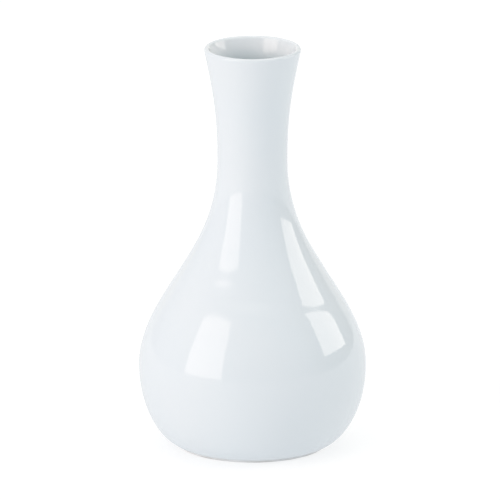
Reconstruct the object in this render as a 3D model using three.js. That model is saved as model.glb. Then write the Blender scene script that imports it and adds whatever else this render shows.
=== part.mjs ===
// A slip-cast porcelain bud vase: onion belly, cone shoulder, slim waisted neck and a small flared lip.
// Units are millimetres, +Z is up, and the origin is the centre of the foot on the table.
//
// The vase is one fired piece, so its separate solids are its layers: the porcelain body, the glaze
// dipped over its outside, the glaze poured into its inside, and the patch of glaze under the foot.
import * as THREE from 'three';

// Overall form
const HEIGHT = 130;
const BELLY = { radius: 36.1, level: 26.2 };
const CONE = { radius: 22.4, level: 58.1, lean: 30 };
const NECK = { radius: 11.1, level: 93 };
const LIP = { radius: 15.3, thickness: 1.6, flare: 11.75, innerFlare: 22 };

// Wall, floor and glaze
const WALL = 3;
const FLOOR = { level: 5.6, flatRadius: 17 };
const GLAZE = 0.3;
const DIP_EDGE = { radius: 11.1, level: 118, flare: 8 };

// Foot
const FOOT = { radius: 23.9, wall: 0.7, rise: 19 };
const BARE_RING = { inner: 20.3, outer: 23.6, innerRound: 0.8, outerRound: 0.4 };
const RECESS = { depth: 2.2, flatRadius: 17.2, edgeRadius: 20, edgeLevel: 1.2, edgeDrop: 65 };

// How fine the faceting is
const SEGMENTS = 40;
const SPAN_STEPS = 5;
const ROUND_STEPS = 3;

const PORCELAIN = { color: 0xe9e8e4, roughness: 0.75, metalness: 0 };
const WHITE_GLAZE = { color: 0xe9ebec, roughness: 0.12, metalness: 0 };

const rad = THREE.MathUtils.degToRad;
const at = (radius, level) => new THREE.Vector2(radius, level);
const heading = (degrees) => at(Math.cos(rad(degrees)), Math.sin(rad(degrees)));

// A knot is a point of a profile with the direction in which the profile passes it, and how far the
// curve holds to that direction before it and after it.
function knot(radius, level, degrees, before, after) {
  return { point: at(radius, level), along: heading(degrees), before, after };
}

// The knot on the other face of the wall, passed in the opposite direction.
function throughWall({ point, along }, before, after) {
  const sunk = at(-along.y, along.x).multiplyScalar(WALL).add(point);
  return { point: sunk, along: along.clone().negate(), before, after };
}

function curvesThrough(knots) {
  const curves = [];
  for (let i = 1; i < knots.length; i += 1) {
    const [from, to] = [knots[i - 1], knots[i]];
    const leaving = from.point.clone().addScaledVector(from.along, from.after);
    const arriving = to.point.clone().addScaledVector(to.along, -to.before);
    curves.push(new THREE.CubicBezierCurve(from.point, leaving, arriving, to.point));
  }
  return curves;
}

function arc(radius, level, round, fromDegrees, toDegrees) {
  return new THREE.EllipseCurve(radius, level, round, round, rad(fromDegrees), rad(toDegrees));
}

// Points along curves, sunk by depth into the material. Every curve runs with the material on its
// left, so the surface normal is the tangent turned to the right.
function pointsAlong(curves, depth, steps) {
  const points = [];
  for (const curve of curves) {
    for (let i = 0; i <= steps; i += 1) {
      const tangent = curve.getTangent(i / steps);
      const point = curve.getPoint(i / steps);
      points.push(point.add(at(-tangent.y, tangent.x).multiplyScalar(depth)));
    }
  }
  return points.filter((point, i) => i === 0 || point.distanceTo(points[i - 1]) > 0.01);
}

// Outside: from the glaze's lower edge at the foot up to the lip.
const lipRound = LIP.thickness / 2;
const lipCentre = at(LIP.radius - lipRound, HEIGHT - lipRound);
const lipStart = heading(-LIP.flare).multiplyScalar(lipRound).add(lipCentre);
const footEdge = knot(FOOT.radius, FOOT.wall, FOOT.rise, 0, 7.2);
const belly = knot(BELLY.radius, BELLY.level, 90, 12.4, 12.2);
const cone = knot(CONE.radius, CONE.level, 90 + CONE.lean, 9.3, 6.5);
const neck = knot(NECK.radius, NECK.level, 90, 18, 15.8);
const lipEdge = knot(lipStart.x, lipStart.y, 90 - LIP.flare, 13.4, 0);
const wallCurves = curvesThrough([footEdge, belly, cone, neck, lipEdge]);
const lipCurves = [
  arc(lipCentre.x, lipCentre.y, lipRound, -LIP.flare, 90),
  arc(lipCentre.x, lipCentre.y, lipRound, 90, 180 - LIP.innerFlare),
];

// Inside: the same form one wall further in, from the lip down to a flat floor. The mouth opens a
// little wider than the outside does. The dipped glaze laps over the lip and down the bore to the
// dip edge, where the poured glaze takes over.
const lipEnd = heading(180 - LIP.innerFlare).multiplyScalar(lipRound).add(lipCentre);
const [dippedBore, ...pouredCurves] = curvesThrough([
  knot(lipEnd.x, lipEnd.y, 270 - LIP.innerFlare, 0, 2),
  knot(DIP_EDGE.radius, DIP_EDGE.level, 270 - DIP_EDGE.flare, 5, 9),
  throughWall(neck, 9, 17),
  throughWall(cone, 7.5, 8),
  throughWall(belly, 11.5, 10.5),
  knot(FLOOR.flatRadius, FLOOR.level, 180, 10.5, 0),
]);
const floorLine = new THREE.LineCurve(at(FLOOR.flatRadius, FLOOR.level), at(0, FLOOR.level));

function outsideSurface(depth) {
  const wall = pointsAlong(wallCurves, depth, SPAN_STEPS);
  const lip = pointsAlong([...lipCurves, dippedBore], depth, ROUND_STEPS);
  return [...wall, ...lip.slice(1)];
}

function insideSurface(depth) {
  const poured = pointsAlong(pouredCurves, depth, SPAN_STEPS);
  const floor = pointsAlong([floorLine], depth, 1);
  return [...poured, ...floor.slice(1)];
}

// Underside: a shallow glazed recess, a bare ring to stand on, and a bare foot wall.
const recessLine = new THREE.LineCurve(at(0, RECESS.depth), at(RECESS.flatRadius, RECESS.depth));
const recessCurves = curvesThrough([
  knot(RECESS.flatRadius, RECESS.depth, 0, 0, 1.6),
  knot(RECESS.edgeRadius, RECESS.edgeLevel, -RECESS.edgeDrop, 0.7, 0),
]);
const { inner, outer, innerRound, outerRound } = BARE_RING;

function recessSurface(depth) {
  const flat = pointsAlong([recessLine], depth, 1);
  return [...flat, ...pointsAlong(recessCurves, depth, ROUND_STEPS).slice(1)];
}

function bareRing() {
  return [
    ...pointsAlong([arc(inner + innerRound, innerRound, innerRound, 180, 270)], 0, ROUND_STEPS),
    ...pointsAlong([arc(outer - outerRound, outerRound, outerRound, -90, 0)], 0, ROUND_STEPS),
  ];
}

function bodyProfile() {
  const inside = insideSurface(GLAZE).slice(1);
  return [...recessSurface(GLAZE), ...bareRing(), ...outsideSurface(GLAZE), ...inside];
}

function outsideGlazeProfile() {
  const skin = outsideSurface(0);
  return [...skin, ...outsideSurface(GLAZE).reverse(), skin[0].clone()];
}

function insideGlazeProfile() {
  return [...insideSurface(GLAZE).reverse(), ...insideSurface(0)];
}

function recessGlazeProfile() {
  return [...recessSurface(0), ...recessSurface(GLAZE).reverse()];
}

function turned(name, profile, finish) {
  const geometry = new THREE.LatheGeometry(profile, SEGMENTS);
  const mesh = new THREE.Mesh(geometry, new THREE.MeshStandardMaterial(finish));
  mesh.name = name;
  mesh.rotation.x = Math.PI / 2;
  return mesh;
}

const group = new THREE.Group();
group.add(turned('porcelain_body', bodyProfile(), PORCELAIN));
group.add(turned('outside_glaze', outsideGlazeProfile(), WHITE_GLAZE));
group.add(turned('inside_glaze', insideGlazeProfile(), WHITE_GLAZE));
group.add(turned('foot_recess_glaze', recessGlazeProfile(), WHITE_GLAZE));

export default group;
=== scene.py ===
import math

import bpy
from mathutils import Matrix, Vector


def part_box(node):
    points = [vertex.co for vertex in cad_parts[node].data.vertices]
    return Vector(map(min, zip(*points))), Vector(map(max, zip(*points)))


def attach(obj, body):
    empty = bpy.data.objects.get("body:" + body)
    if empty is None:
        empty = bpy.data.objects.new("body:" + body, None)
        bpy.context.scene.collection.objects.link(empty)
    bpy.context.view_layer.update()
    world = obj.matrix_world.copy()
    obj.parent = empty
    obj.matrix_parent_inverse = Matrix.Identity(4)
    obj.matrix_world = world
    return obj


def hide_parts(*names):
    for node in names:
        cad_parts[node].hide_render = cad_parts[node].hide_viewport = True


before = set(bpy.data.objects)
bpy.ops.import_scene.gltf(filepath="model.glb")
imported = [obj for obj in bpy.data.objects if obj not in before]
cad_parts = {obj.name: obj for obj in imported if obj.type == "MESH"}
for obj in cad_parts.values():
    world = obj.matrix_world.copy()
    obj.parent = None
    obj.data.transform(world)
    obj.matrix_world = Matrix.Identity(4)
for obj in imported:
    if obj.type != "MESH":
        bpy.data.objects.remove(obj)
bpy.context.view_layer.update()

MM = 0.001

# ---------------------------------------------------------------- dimensions
# Profiles are drawn in millimetres from the axis and above the table. The height, the belly's
# radius and the glaze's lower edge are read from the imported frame.
OUTSIDE_LOW, OUTSIDE_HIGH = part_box("outside_glaze")
HEIGHT = OUTSIDE_HIGH.z / MM
BELLY_RADIUS, BELLY_LEVEL = OUTSIDE_HIGH.x / MM, 26.2
CONE_RADIUS, CONE_LEVEL, CONE_LEAN = 22.4, 58.1, 30
NECK_RADIUS, NECK_LEVEL = 11.1, 93
LIP_RADIUS, LIP_ROUND, LIP_FLARE, MOUTH_FLARE = 15.3, 0.8, 11.75, 22
WALL = 3
GLAZE = 0.3
BOND = 0.02
FLOOR_LEVEL, FLOOR_FLAT = 5.6, 17
DIP_RADIUS, DIP_LEVEL, DIP_FLARE = 11.1, 118, 8
FOOT_RADIUS, FOOT_WALL, FOOT_RISE = 23.9, OUTSIDE_LOW.z / MM, 19
RING_INNER, RING_OUTER = 20.3, 23.6
RING_INNER_ROUND, RING_OUTER_ROUND = 0.8, 0.4
RECESS_DEPTH, RECESS_FLAT = 2.2, 17.2
RECESS_EDGE, RECESS_EDGE_LEVEL, RECESS_DROP = 20, 1.2, 65

TURN_STEPS = 144
SPAN_STEPS = 20

# ---------------------------------------------------------------- studio
CAMERA_RISE = 15.5
CAMERA_DISTANCE = 6.0
FRAME_WIDTH = 0.1587
AIM = Vector((-0.0008, 0, 0.0635))
FLOOR_RADIUS = 14

# ---------------------------------------------------------------- finishes and light
# The joint's and the mouth's sizes are in millimetres.
GLAZE_IOR = 1.52
JOINT_NORMAL = (0.09, 0.09, 1)
JOINT_LEVEL, JOINT_SPREAD = 49.1, 5
JOINT_STEP = 0.2
MOUTH_CONE, MOUTH_LEAN = 12.5, 0.2
MOUTH_DEEP_LEVEL, MOUTH_FADE = 120, 7.5
FULL_GLAZE = (0.81, 0.85, 0.87, 1)
THIN_GLAZE = (0.84, 0.86, 0.87, 1)
# Painted light: the glaze just inside the mouth is drawn whiter than the outside glaze, standing in for
# light falling on the inner wall.
MOUTH_GLAZE_PAINTED_LIGHT = (0.93, 0.945, 0.95, 1)
# Painted shade: the inside glaze is drawn much darker than the outside glaze, standing in for the shade
# deep in the mouth and chamber.
INSIDE_GLAZE_PAINTED_SHADE = (0.57, 0.64, 0.66, 1)
BARE_CLAY = (0.86, 0.86, 0.85, 1)
BARE_CLAY_DARK = (0.82, 0.81, 0.79, 1)
IRON_SPECK = (0.16, 0.11, 0.08, 1)
SHELF_GREY = (0.36, 0.35, 0.34, 1)

PAPER = (0.40, 0.40, 0.40, 1)
PAPER_SHADE = (0.39, 0.39, 0.39, 1)
TABLE_GLOW = (0.49, 0.51, 0.53, 1)
TABLE_GLOW_SEEN = (0.66, 0.66, 0.66, 1)
BACKDROP_SEEN = (0.98, 0.98, 0.98, 1)
ROOM = (0.50, 0.57, 0.63, 1)
ROOM_LEFT = (0.58, 0.63, 0.70, 1)
ROOM_PAPER = (0.86, 0.85, 0.83, 1)
ROOM_CEILING = (1.30, 1.30, 1.27, 1)
ROOM_CURTAIN = (0.25, 0.28, 0.28, 1)
LEFT_LIGHT = (1.0, 0.84, 0.76)
RIGHT_LIGHT = (1.0, 0.91, 0.85)


# ---------------------------------------------------------------- drawing a profile
def heading(degrees):
    angle = math.radians(degrees)
    return Vector((math.cos(angle), math.sin(angle)))


def left_of(along):
    return Vector((-along.y, along.x))


def knot(radius, level, degrees, before, after):
    """A point of a profile, the way the profile passes it, and how far it holds that way."""
    return Vector((radius, level)), heading(degrees), before, after


def through_wall(outer, before, after):
    """The same knot on the other face of the wall, passed the other way."""
    point, along = outer[:2]
    return point + WALL * left_of(along), -along, before, after


def rounding(radius, level, size, start, end):
    """The two knots of an arc that turns left from one bearing to another."""
    hold = 4 / 3 * math.tan(math.radians(end - start) / 4) * size
    first = Vector((radius, level)) + size * heading(start)
    last = Vector((radius, level)) + size * heading(end)
    return [(first, heading(start + 90), 0, hold), (last, heading(end + 90), hold, 0)]


def joined(*stretches):
    """One profile from several, where each starts at or near the end of the one before."""
    knots = list(stretches[0])
    for stretch in stretches[1:]:
        point, along, before, after = stretch[0]
        if (point - knots[-1][0]).length < 0.01:
            knots[-1] = (knots[-1][0], knots[-1][1], knots[-1][2], after)
            knots += stretch[1:]
        else:
            knots += stretch
    return knots


def sunk(knots, depth):
    """The same profile lying deeper in the clay, which is always on its left."""
    points = [point + depth * left_of(along) for point, along, _, _ in knots]
    result = []
    for i, (point, along, before, after) in enumerate(knots):
        if i > 0:
            before *= (points[i] - points[i - 1]).length / (point - knots[i - 1][0]).length
        if i < len(knots) - 1:
            after *= (points[i + 1] - points[i]).length / (knots[i + 1][0] - point).length
        result.append((points[i], along, before, after))
    return result


def backwards(knots):
    return [(point, -along, after, before) for point, along, before, after in reversed(knots)]


def closed_at(knots, hold):
    """Gives a profile's first and last knots the hold that rounds the end between them."""
    first, last = knots[0], knots[-1]
    return [(*first[:2], hold, first[3])] + knots[1:-1] + [(*last[:3], hold)]


# ---------------------------------------------------------------- the vase's own profiles
def wall_profile():
    """Up the outside, from the glaze's edge at the foot to the lip."""
    lip = Vector((LIP_RADIUS - LIP_ROUND, HEIGHT - LIP_ROUND)) + LIP_ROUND * heading(-LIP_FLARE)
    return [
        knot(FOOT_RADIUS, FOOT_WALL, FOOT_RISE, 0, 7.2),
        knot(BELLY_RADIUS, BELLY_LEVEL, 90, 12.4, 12.2),
        knot(CONE_RADIUS, CONE_LEVEL, 90 + CONE_LEAN, 9.3, 6.5),
        knot(NECK_RADIUS, NECK_LEVEL, 90, 18, 15.8),
        knot(lip.x, lip.y, 90 - LIP_FLARE, 13.4, 0),
    ]


def lip_profile():
    centre = LIP_RADIUS - LIP_ROUND, HEIGHT - LIP_ROUND
    outer = rounding(*centre, LIP_ROUND, -LIP_FLARE, 90)
    return joined(outer, rounding(*centre, LIP_ROUND, 90, 180 - MOUTH_FLARE))


def bore_profile():
    """Down the inside of the mouth, as far as the outside glaze was dipped."""
    lip = Vector((LIP_RADIUS - LIP_ROUND, HEIGHT - LIP_ROUND)) - LIP_ROUND * heading(-MOUTH_FLARE)
    return [
        knot(lip.x, lip.y, 270 - MOUTH_FLARE, 0, 2),
        knot(DIP_RADIUS, DIP_LEVEL, 270 - DIP_FLARE, 5, 0),
    ]


def chamber_profile():
    """On down the neck, round the chamber and over its floor to the axis."""
    _, belly, cone, neck, _ = wall_profile()
    return [
        knot(DIP_RADIUS, DIP_LEVEL, 270 - DIP_FLARE, 0, 9),
        through_wall(neck, 9, 17),
        through_wall(cone, 7.5, 8),
        through_wall(belly, 11.5, 10.5),
        knot(FLOOR_FLAT, FLOOR_LEVEL, 180, 10.5, 0),
        knot(0, FLOOR_LEVEL, 180, 0, 0),
    ]


def recess_profile():
    return [
        knot(0, RECESS_DEPTH, 0, 0, 0),
        knot(RECESS_FLAT, RECESS_DEPTH, 0, 0, 1.6),
        knot(RECESS_EDGE, RECESS_EDGE_LEVEL, -RECESS_DROP, 0.7, 0),
    ]


def ring_profile():
    """Round the bare ring that the vase stands on."""
    inner = rounding(RING_INNER + RING_INNER_ROUND, RING_INNER_ROUND, RING_INNER_ROUND, 180, 270)
    outer = rounding(RING_OUTER - RING_OUTER_ROUND, RING_OUTER_ROUND, RING_OUTER_ROUND, 270, 360)
    return inner + outer


# ---------------------------------------------------------------- turning a profile
def turn(name, knots, endless):
    """Draws a profile as a curve, spins it about the axis, and closes its seam and poles."""
    bpy.ops.object.select_all(action="DESELECT")
    bpy.ops.curve.primitive_bezier_curve_add(radius=HEIGHT * MM, location=(0, 0, 0))
    piece = bpy.context.object
    piece.name = name
    spline = piece.data.splines[0]
    spline.bezier_points.add(len(knots) - 2)
    spline.use_cyclic_u = endless
    piece.data.resolution_u = SPAN_STEPS
    for spot, (point, along, before, after) in zip(spline.bezier_points, knots):
        spot.handle_left_type = spot.handle_right_type = "FREE"
        spot.co = in_section(point)
        spot.handle_left = in_section(point - before * along)
        spot.handle_right = in_section(point + after * along)
    bpy.ops.object.convert(target="MESH")
    bpy.ops.object.mode_set(mode="EDIT")
    bpy.ops.mesh.select_all(action="SELECT")
    bpy.ops.mesh.spin(steps=TURN_STEPS, angle=math.tau, center=(0, 0, 0), axis=(0, 0, 1))
    bpy.ops.mesh.select_all(action="SELECT")
    bpy.ops.mesh.remove_doubles(threshold=0.002 * MM)
    bpy.ops.mesh.normals_make_consistent(inside=False)
    bpy.ops.object.mode_set(mode="OBJECT")
    bpy.ops.object.shade_smooth()
    return piece


def in_section(point):
    return Vector((point.x, 0, point.y)) * MM


# ---------------------------------------------------------------- the pieces
def make_body():
    clay = GLAZE + BOND
    outside = joined(wall_profile(), lip_profile(), bore_profile(), chamber_profile())
    section = sunk(recess_profile(), clay) + ring_profile() + sunk(outside, clay)
    return turn("fired_body", section, endless=False)


def make_outside_glaze():
    skin = joined(wall_profile(), lip_profile(), bore_profile())
    section = closed_at(skin + backwards(sunk(skin, GLAZE)), 2 / 3 * GLAZE)
    return turn("dipped_glaze", section, endless=True)


def make_inside_glaze():
    skin = chamber_profile()
    return turn("poured_glaze", backwards(sunk(skin, GLAZE)) + skin, endless=False)


def make_recess_glaze():
    skin = recess_profile()
    return turn("recess_glaze_patch", skin + backwards(sunk(skin, GLAZE)), endless=False)


# ---------------------------------------------------------------- building nodes
def add(tree, kind, inputs=(), **settings):
    """A node with its settings, and with its inputs given as values or as sockets to link."""
    node = tree.nodes.new(kind)
    for name, value in settings.items():
        setattr(node, name, value)
    for name, value in dict(inputs).items():
        if isinstance(value, bpy.types.NodeSocket):
            tree.links.new(value, node.inputs[name])
        else:
            node.inputs[name].default_value = value
    return node


def calculate(tree, operation, first, second=0.0):
    return add(tree, "ShaderNodeMath", {0: first, 1: second}, operation=operation).outputs[0]


def remap(tree, value, from_low, from_high, to_low=0.0, to_high=1.0):
    """Smoothly carries one range of a value to another."""
    ends = {"From Min": from_low, "From Max": from_high, "To Min": to_low, "To Max": to_high}
    node = add(tree, "ShaderNodeMapRange", {"Value": value, **ends}, interpolation_type="SMOOTHSTEP")
    return node.outputs["Result"]


def blend_colour(tree, factor, first, second, blend_type="MIX"):
    inputs = {"Factor": factor, 6: first, 7: second}
    node = add(tree, "ShaderNodeMix", inputs, data_type="RGBA", blend_type=blend_type)
    return node.outputs[2]


def start_group(name, inputs, outputs):
    """An empty node group with its named sockets: kind is Float, Color or Vector."""
    tree = bpy.data.node_groups.new(name, "ShaderNodeTree")
    for socket, kind in inputs.items():
        tree.interface.new_socket(socket, in_out="INPUT", socket_type="NodeSocket" + kind)
    for socket, kind in outputs.items():
        tree.interface.new_socket(socket, in_out="OUTPUT", socket_type="NodeSocket" + kind)
    return tree, tree.nodes.new("NodeGroupInput").outputs, tree.nodes.new("NodeGroupOutput").inputs


def place(tree, group, inputs):
    return add(tree, "ShaderNodeGroup", inputs, node_tree=group).outputs


# ---------------------------------------------------------------- shared effects
def ripple_group():
    """The slow swell of a fired wall and the fine orange peel of its glaze, as a height."""
    ins = {"Position": "Vector", "Swell": "Float", "Peel": "Float"}
    tree, given, result = start_group("glaze_ripple", ins, {"Height": "Float"})
    swell = add(tree, "ShaderNodeTexNoise", {"Vector": given["Position"], "Scale": 55, "Detail": 1})
    peel = add(tree, "ShaderNodeTexNoise", {"Vector": given["Position"], "Scale": 600, "Detail": 1})
    slow = calculate(tree, "MULTIPLY", swell.outputs["Fac"], given["Swell"])
    fine = calculate(tree, "MULTIPLY", peel.outputs["Fac"], given["Peel"])
    tree.links.new(calculate(tree, "ADD", slow, fine), result["Height"])
    return tree


def clouding_group():
    """Where the glaze lies a little thicker or thinner, as a soft patchy mask."""
    ins = {"Position": "Vector", "Scale": "Float"}
    tree, given, result = start_group("glaze_clouding", ins, {"Mask": "Float"})
    noise = add(tree, "ShaderNodeTexNoise",
                {"Vector": given["Position"], "Scale": given["Scale"], "Detail": 3, "Roughness": 0.45})
    tree.links.new(remap(tree, noise.outputs["Fac"], 0.32, 0.68), result["Mask"])
    return tree


def specks_group():
    """Sparse round specks from the kiln: iron in the clay, or pinholes in the glaze."""
    ins = {"Position": "Vector", "Spacing": "Float", "Size": "Float", "Share": "Float"}
    tree, given, result = start_group("kiln_specks", ins, {"Mask": "Float"})
    per_metre = calculate(tree, "DIVIDE", 1.0, given["Spacing"])
    cells = add(tree, "ShaderNodeTexVoronoi", {"Vector": given["Position"], "Scale": per_metre})
    across = calculate(tree, "DIVIDE", given["Size"], given["Spacing"])
    spot = calculate(tree, "LESS_THAN", cells.outputs["Distance"], across)
    draw = add(tree, "ShaderNodeSeparateColor", {"Color": cells.outputs["Color"]}).outputs["Red"]
    chosen = calculate(tree, "LESS_THAN", draw, given["Share"])
    tree.links.new(calculate(tree, "MULTIPLY", spot, chosen), result["Mask"])
    return tree


def thinning_group():
    """Where the glaze has run thin over an edge: within reach of a level, as a soft mask."""
    ins = {"Position": "Vector", "Level": "Float", "Reach": "Float"}
    tree, given, result = start_group("edge_thinning", ins, {"Mask": "Float"})
    height = add(tree, "ShaderNodeSeparateXYZ", {"Vector": given["Position"]}).outputs["Z"]
    away = calculate(tree, "ABSOLUTE", calculate(tree, "SUBTRACT", height, given["Level"]))
    share = calculate(tree, "DIVIDE", away, given["Reach"])
    tree.links.new(remap(tree, share, 1.0, 0.0), result["Mask"])
    return tree


def mouth_group():
    """The inner face of the mouth, nearer the axis than a cone that leans outward, as a mask, and
    how deep it lies, from the lip to the cone's level."""
    ins = {"Position": "Vector", "Level": "Float", "Radius": "Float", "Lean": "Float",
           "Depth": "Float"}
    tree, given, result = start_group("mouth_inside", ins, {"Mask": "Float", "Share": "Float"})
    x, y, z = add(tree, "ShaderNodeSeparateXYZ", {"Vector": given["Position"]}).outputs
    squares = calculate(tree, "ADD", calculate(tree, "POWER", x, 2), calculate(tree, "POWER", y, 2))
    radius = calculate(tree, "SQRT", squares)
    above = calculate(tree, "SUBTRACT", z, given["Level"])
    cone = calculate(tree, "ADD", given["Radius"], calculate(tree, "MULTIPLY", above, given["Lean"]))
    tree.links.new(remap(tree, calculate(tree, "SUBTRACT", cone, radius), 0, MM), result["Mask"])
    share = calculate(tree, "DIVIDE", above, given["Depth"])
    tree.links.new(remap(tree, share, 1.0, 0.0), result["Share"])
    return tree


def joint_group():
    """The soft step where the lower half of the wall was luted to the upper, as a height. The
    joint's plane is given by its normal and level, and the wall is proud below it."""
    ins = {"Position": "Vector", "Normal": "Vector", "Level": "Float", "Spread": "Float",
           "Step": "Float"}
    tree, given, result = start_group("luting_joint", ins, {"Height": "Float"})
    rise = add(tree, "ShaderNodeVectorMath", {0: given["Position"], 1: given["Normal"]},
               operation="DOT_PRODUCT").outputs["Value"]
    share = calculate(tree, "DIVIDE", calculate(tree, "SUBTRACT", rise, given["Level"]), given["Spread"])
    proud = remap(tree, share, 0.5, -0.5)
    tree.links.new(calculate(tree, "MULTIPLY", proud, given["Step"]), result["Height"])
    return tree


def grain_group():
    """The fine sandy tooth of unglazed porcelain, as a height and a mottled mask."""
    ins = {"Position": "Vector", "Grain": "Float"}
    outs = {"Height": "Float", "Mottle": "Float"}
    tree, given, result = start_group("clay_grain", ins, outs)
    per_metre = calculate(tree, "DIVIDE", 1.0, given["Grain"])
    tooth = add(tree, "ShaderNodeTexNoise",
                {"Vector": given["Position"], "Scale": per_metre, "Detail": 4, "Roughness": 0.6})
    blotch = add(tree, "ShaderNodeTexNoise", {"Vector": given["Position"], "Scale": 90, "Detail": 3})
    tree.links.new(calculate(tree, "MULTIPLY", tooth.outputs["Fac"], given["Grain"]), result["Height"])
    tree.links.new(remap(tree, blotch.outputs["Fac"], 0.35, 0.65), result["Mottle"])
    return tree


# ---------------------------------------------------------------- finishes
def start_material(name):
    material = bpy.data.materials.new(name)
    material.use_nodes = True
    tree = material.node_tree
    where = tree.nodes.new("ShaderNodeTexCoord").outputs["Object"]
    return material, tree, tree.nodes["Principled BSDF"], where


def raise_surface(tree, shader, height):
    bump = add(tree, "ShaderNodeBump", {"Height": height, "Strength": 1.0, "Distance": 1.0})
    tree.links.new(bump.outputs["Normal"], shader.inputs["Normal"])


def white_glaze(name, effects, full, thin, edges, smooth, dull, swell, peel, outside=False):
    """Clear glossy glaze over white clay. Edges are the levels where it has run thin. The outside
    glaze also laps into the mouth, where it is painted lighter near the lip as painted light and
    darker with depth as painted shade, and shows the luting joint."""
    material, tree, shader, where = start_material(name)
    cloud = place(tree, effects["clouding"], {"Position": where, "Scale": 38})["Mask"]
    colour = blend_colour(tree, calculate(tree, "MULTIPLY", cloud, 0.3), full, thin)
    for level, reach in edges:
        edge = place(tree, effects["thinning"],
                     {"Position": where, "Level": level * MM, "Reach": reach * MM})["Mask"]
        colour = blend_colour(tree, edge, colour, thin)
    speck = place(tree, effects["specks"],
                  {"Position": where, "Spacing": 5 * MM, "Size": 0.13 * MM, "Share": 0.02})["Mask"]
    colour = blend_colour(tree, calculate(tree, "MULTIPLY", speck, 0.5), colour, IRON_SPECK)
    tree.links.new(remap(tree, cloud, 0.0, 1.0, smooth, dull), shader.inputs["Roughness"])
    shader.inputs["IOR"].default_value = GLAZE_IOR
    height = place(tree, effects["ripple"],
                   {"Position": where, "Swell": swell * MM, "Peel": peel * MM})["Height"]
    if outside:
        mouth = place(tree, effects["mouth"],
                      {"Position": where, "Level": MOUTH_DEEP_LEVEL * MM, "Radius": MOUTH_CONE * MM,
                       "Lean": MOUTH_LEAN, "Depth": MOUTH_FADE * MM})
        # Painted light and shade: the glaze in the mouth goes from a whiter colour near the lip to a
        # dark one deeper down.
        inner = blend_colour(tree, mouth["Share"], MOUTH_GLAZE_PAINTED_LIGHT, INSIDE_GLAZE_PAINTED_SHADE)
        colour = blend_colour(tree, mouth["Mask"], colour, inner)
        joint = place(tree, effects["joint"],
                      {"Position": where, "Normal": JOINT_NORMAL, "Level": JOINT_LEVEL * MM,
                       "Spread": JOINT_SPREAD * MM, "Step": JOINT_STEP * MM})["Height"]
        height = calculate(tree, "ADD", height, joint)
    tree.links.new(colour, shader.inputs["Base Color"])
    raise_surface(tree, shader, height)
    return material


def bare_porcelain(effects):
    material, tree, shader, where = start_material("bare_porcelain")
    grain = place(tree, effects["grain"], {"Position": where, "Grain": 0.12 * MM})
    colour = blend_colour(tree, grain["Mottle"], BARE_CLAY, BARE_CLAY_DARK)
    speck = place(tree, effects["specks"],
                  {"Position": where, "Spacing": 1.6 * MM, "Size": 0.09 * MM, "Share": 0.12})["Mask"]
    colour = blend_colour(tree, calculate(tree, "MULTIPLY", speck, 0.7), colour, IRON_SPECK)
    rub = place(tree, effects["thinning"],
                {"Position": where, "Level": 0.0, "Reach": 0.5 * MM})["Mask"]
    rubbed = calculate(tree, "MULTIPLY", rub, calculate(tree, "MULTIPLY", grain["Mottle"], 0.6))
    colour = blend_colour(tree, rubbed, colour, SHELF_GREY)
    tree.links.new(colour, shader.inputs["Base Color"])
    tree.links.new(remap(tree, rubbed, 0.0, 0.6, 0.82, 0.6), shader.inputs["Roughness"])
    raise_surface(tree, shader, grain["Height"])
    return material


def finish(piece, node, material):
    piece.data.materials.clear()
    piece.data.materials.append(material)
    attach(piece, "root")
    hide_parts(node)


# ---------------------------------------------------------------- studio
def lay_floor():
    """A sheet of pale paper that glows a little, and more to the camera than to the vase."""
    bpy.ops.object.select_all(action="DESELECT")
    bpy.ops.mesh.primitive_circle_add(vertices=96, radius=FLOOR_RADIUS, fill_type="NGON")
    floor = bpy.context.object
    floor.name = "paper_floor"
    material, tree, shader, where = start_material("white_paper")
    tooth = add(tree, "ShaderNodeTexNoise", {"Vector": where, "Scale": 9, "Detail": 2})
    colour = blend_colour(tree, tooth.outputs["Fac"], PAPER, PAPER_SHADE)
    tree.links.new(colour, shader.inputs["Base Color"])
    shader.inputs["Roughness"].default_value = 0.95
    shader.inputs["Specular IOR Level"].default_value = 0.1
    seen = tree.nodes.new("ShaderNodeLightPath").outputs["Is Camera Ray"]
    glow = blend_colour(tree, seen, TABLE_GLOW, TABLE_GLOW_SEEN)
    tree.links.new(glow, shader.inputs["Emission Color"])
    shader.inputs["Emission Strength"].default_value = 1
    floor.data.materials.append(material)


def hang_softbox(name, near, far, low, high, watts, colour):
    """An upright panel of light between two bearings round the vase: (degrees right of the
    camera, metres away) at each end, and its lower and upper edges in metres."""
    ends = []
    for bearing, distance in (near, far):
        angle = math.radians(bearing)
        ends.append(Vector((distance * math.sin(angle), -distance * math.cos(angle), 0)))
    centre = (ends[0] + ends[1]) / 2 + Vector((0, 0, (low + high) / 2))
    across = (ends[1] - ends[0]).normalized()
    up = Vector((0, 0, 1))
    back = across.cross(up)
    if back.dot(centre) < 0:
        across, back = -across, -back
    panel = bpy.data.lights.new(name, "AREA")
    panel.shape = "RECTANGLE"
    panel.size, panel.size_y = (ends[1] - ends[0]).length, high - low
    panel.energy = watts
    panel.color = colour
    lamp = bpy.data.objects.new(name, panel)
    lamp.matrix_world = Matrix.Translation(centre) @ Matrix((across, up, back)).transposed().to_4x4()
    lamp.visible_camera = False
    bpy.context.scene.collection.objects.link(lamp)


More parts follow.
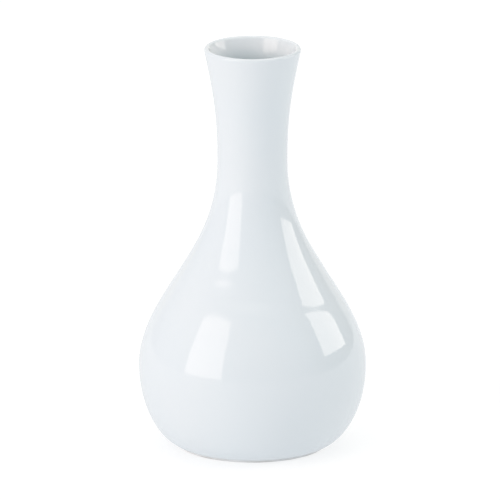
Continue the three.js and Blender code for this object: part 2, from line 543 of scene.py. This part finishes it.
def light_room():
    """A pale room round the vase: lighter to the left and behind, with a dark curtain on the
    right and a bright ceiling. The camera itself sees a plain white backdrop instead."""
    world = bpy.data.worlds.new("studio_room")
    bpy.context.scene.world = world
    world.use_nodes = True
    tree = world.node_tree
    way = tree.nodes.new("ShaderNodeTexCoord").outputs["Generated"]
    x, y, z = add(tree, "ShaderNodeSeparateXYZ", {"Vector": way}).outputs
    front = calculate(tree, "MULTIPLY", y, -1.0)
    bearing = calculate(tree, "DEGREES", calculate(tree, "ARCTAN2", x, front))
    rise = calculate(tree, "DEGREES", calculate(tree, "ARCSINE", z))
    colour = blend_colour(tree, remap(tree, bearing, -50, -90), ROOM, ROOM_LEFT)
    behind = remap(tree, calculate(tree, "ABSOLUTE", bearing), 135, 150)
    colour = blend_colour(tree, behind, colour, ROOM_PAPER)
    colour = blend_colour(tree, remap(tree, rise, 48, 60), colour, ROOM_CEILING)
    curtain = calculate(tree, "MULTIPLY", remap(tree, bearing, 55, 80), remap(tree, bearing, 143, 139))
    curtain = calculate(tree, "MULTIPLY", curtain, remap(tree, rise, 52, 42))
    colour = blend_colour(tree, curtain, colour, ROOM_CURTAIN)
    seen = tree.nodes.new("ShaderNodeLightPath").outputs["Is Camera Ray"]
    colour = blend_colour(tree, seen, colour, BACKDROP_SEEN)
    tree.links.new(colour, tree.nodes["Background"].inputs["Color"])


def set_camera():
    camera = bpy.data.objects.new("camera", bpy.data.cameras.new("camera"))
    rise = math.radians(CAMERA_RISE)
    back = Vector((0, -math.cos(rise), math.sin(rise)))
    camera.location = AIM + CAMERA_DISTANCE * back
    camera.rotation_euler = (-back).to_track_quat("-Z", "Y").to_euler()
    camera.data.lens = camera.data.sensor_width * CAMERA_DISTANCE / FRAME_WIDTH
    camera.data.clip_end = 2 * FLOOR_RADIUS
    bpy.context.scene.collection.objects.link(camera)
    bpy.context.scene.camera = camera


# ---------------------------------------------------------------- putting it together
effects = {
    "ripple": ripple_group(),
    "clouding": clouding_group(),
    "specks": specks_group(),
    "thinning": thinning_group(),
    "joint": joint_group(),
    "mouth": mouth_group(),
    "grain": grain_group(),
}
outside_finish = white_glaze("outside_white_glaze", effects, FULL_GLAZE, THIN_GLAZE,
                             [(FOOT_WALL, 1.2)], smooth=0.05, dull=0.08, swell=0.02,
                             peel=0.0008, outside=True)
# The poured glaze inside takes the painted-shade colour, darker than the white glaze it is, as painted
# shade.
inside_finish_painted_shade = white_glaze("inside_white_glaze_painted_shade", effects, INSIDE_GLAZE_PAINTED_SHADE, FULL_GLAZE,
                            [], smooth=0.07, dull=0.12, swell=0.04, peel=0.001)
recess_finish = white_glaze("recess_white_glaze", effects, FULL_GLAZE, THIN_GLAZE,
                            [(RECESS_EDGE_LEVEL, 0.8)], smooth=0.08, dull=0.16, swell=0.05,
                            peel=0.002)

finish(make_body(), "porcelain_body", bare_porcelain(effects))
finish(make_outside_glaze(), "outside_glaze", outside_finish)
finish(make_inside_glaze(), "inside_glaze", inside_finish_painted_shade)
finish(make_recess_glaze(), "foot_recess_glaze", recess_finish)

bpy.context.scene.view_settings.view_transform = "Standard"
set_camera()
lay_floor()
light_room()
hang_softbox("left_softbox_low", (-31, 1.6), (-72, 2.1), 0.06, 1.14, 10.8, LEFT_LIGHT)
hang_softbox("left_softbox_high", (-31, 1.6), (-72, 2.1), 1.148, 1.51, 3.6, LEFT_LIGHT)
hang_softbox("right_softbox", (81, 1.2), (117, 2.35), 0.28, 0.955, 10.0, RIGHT_LIGHT)
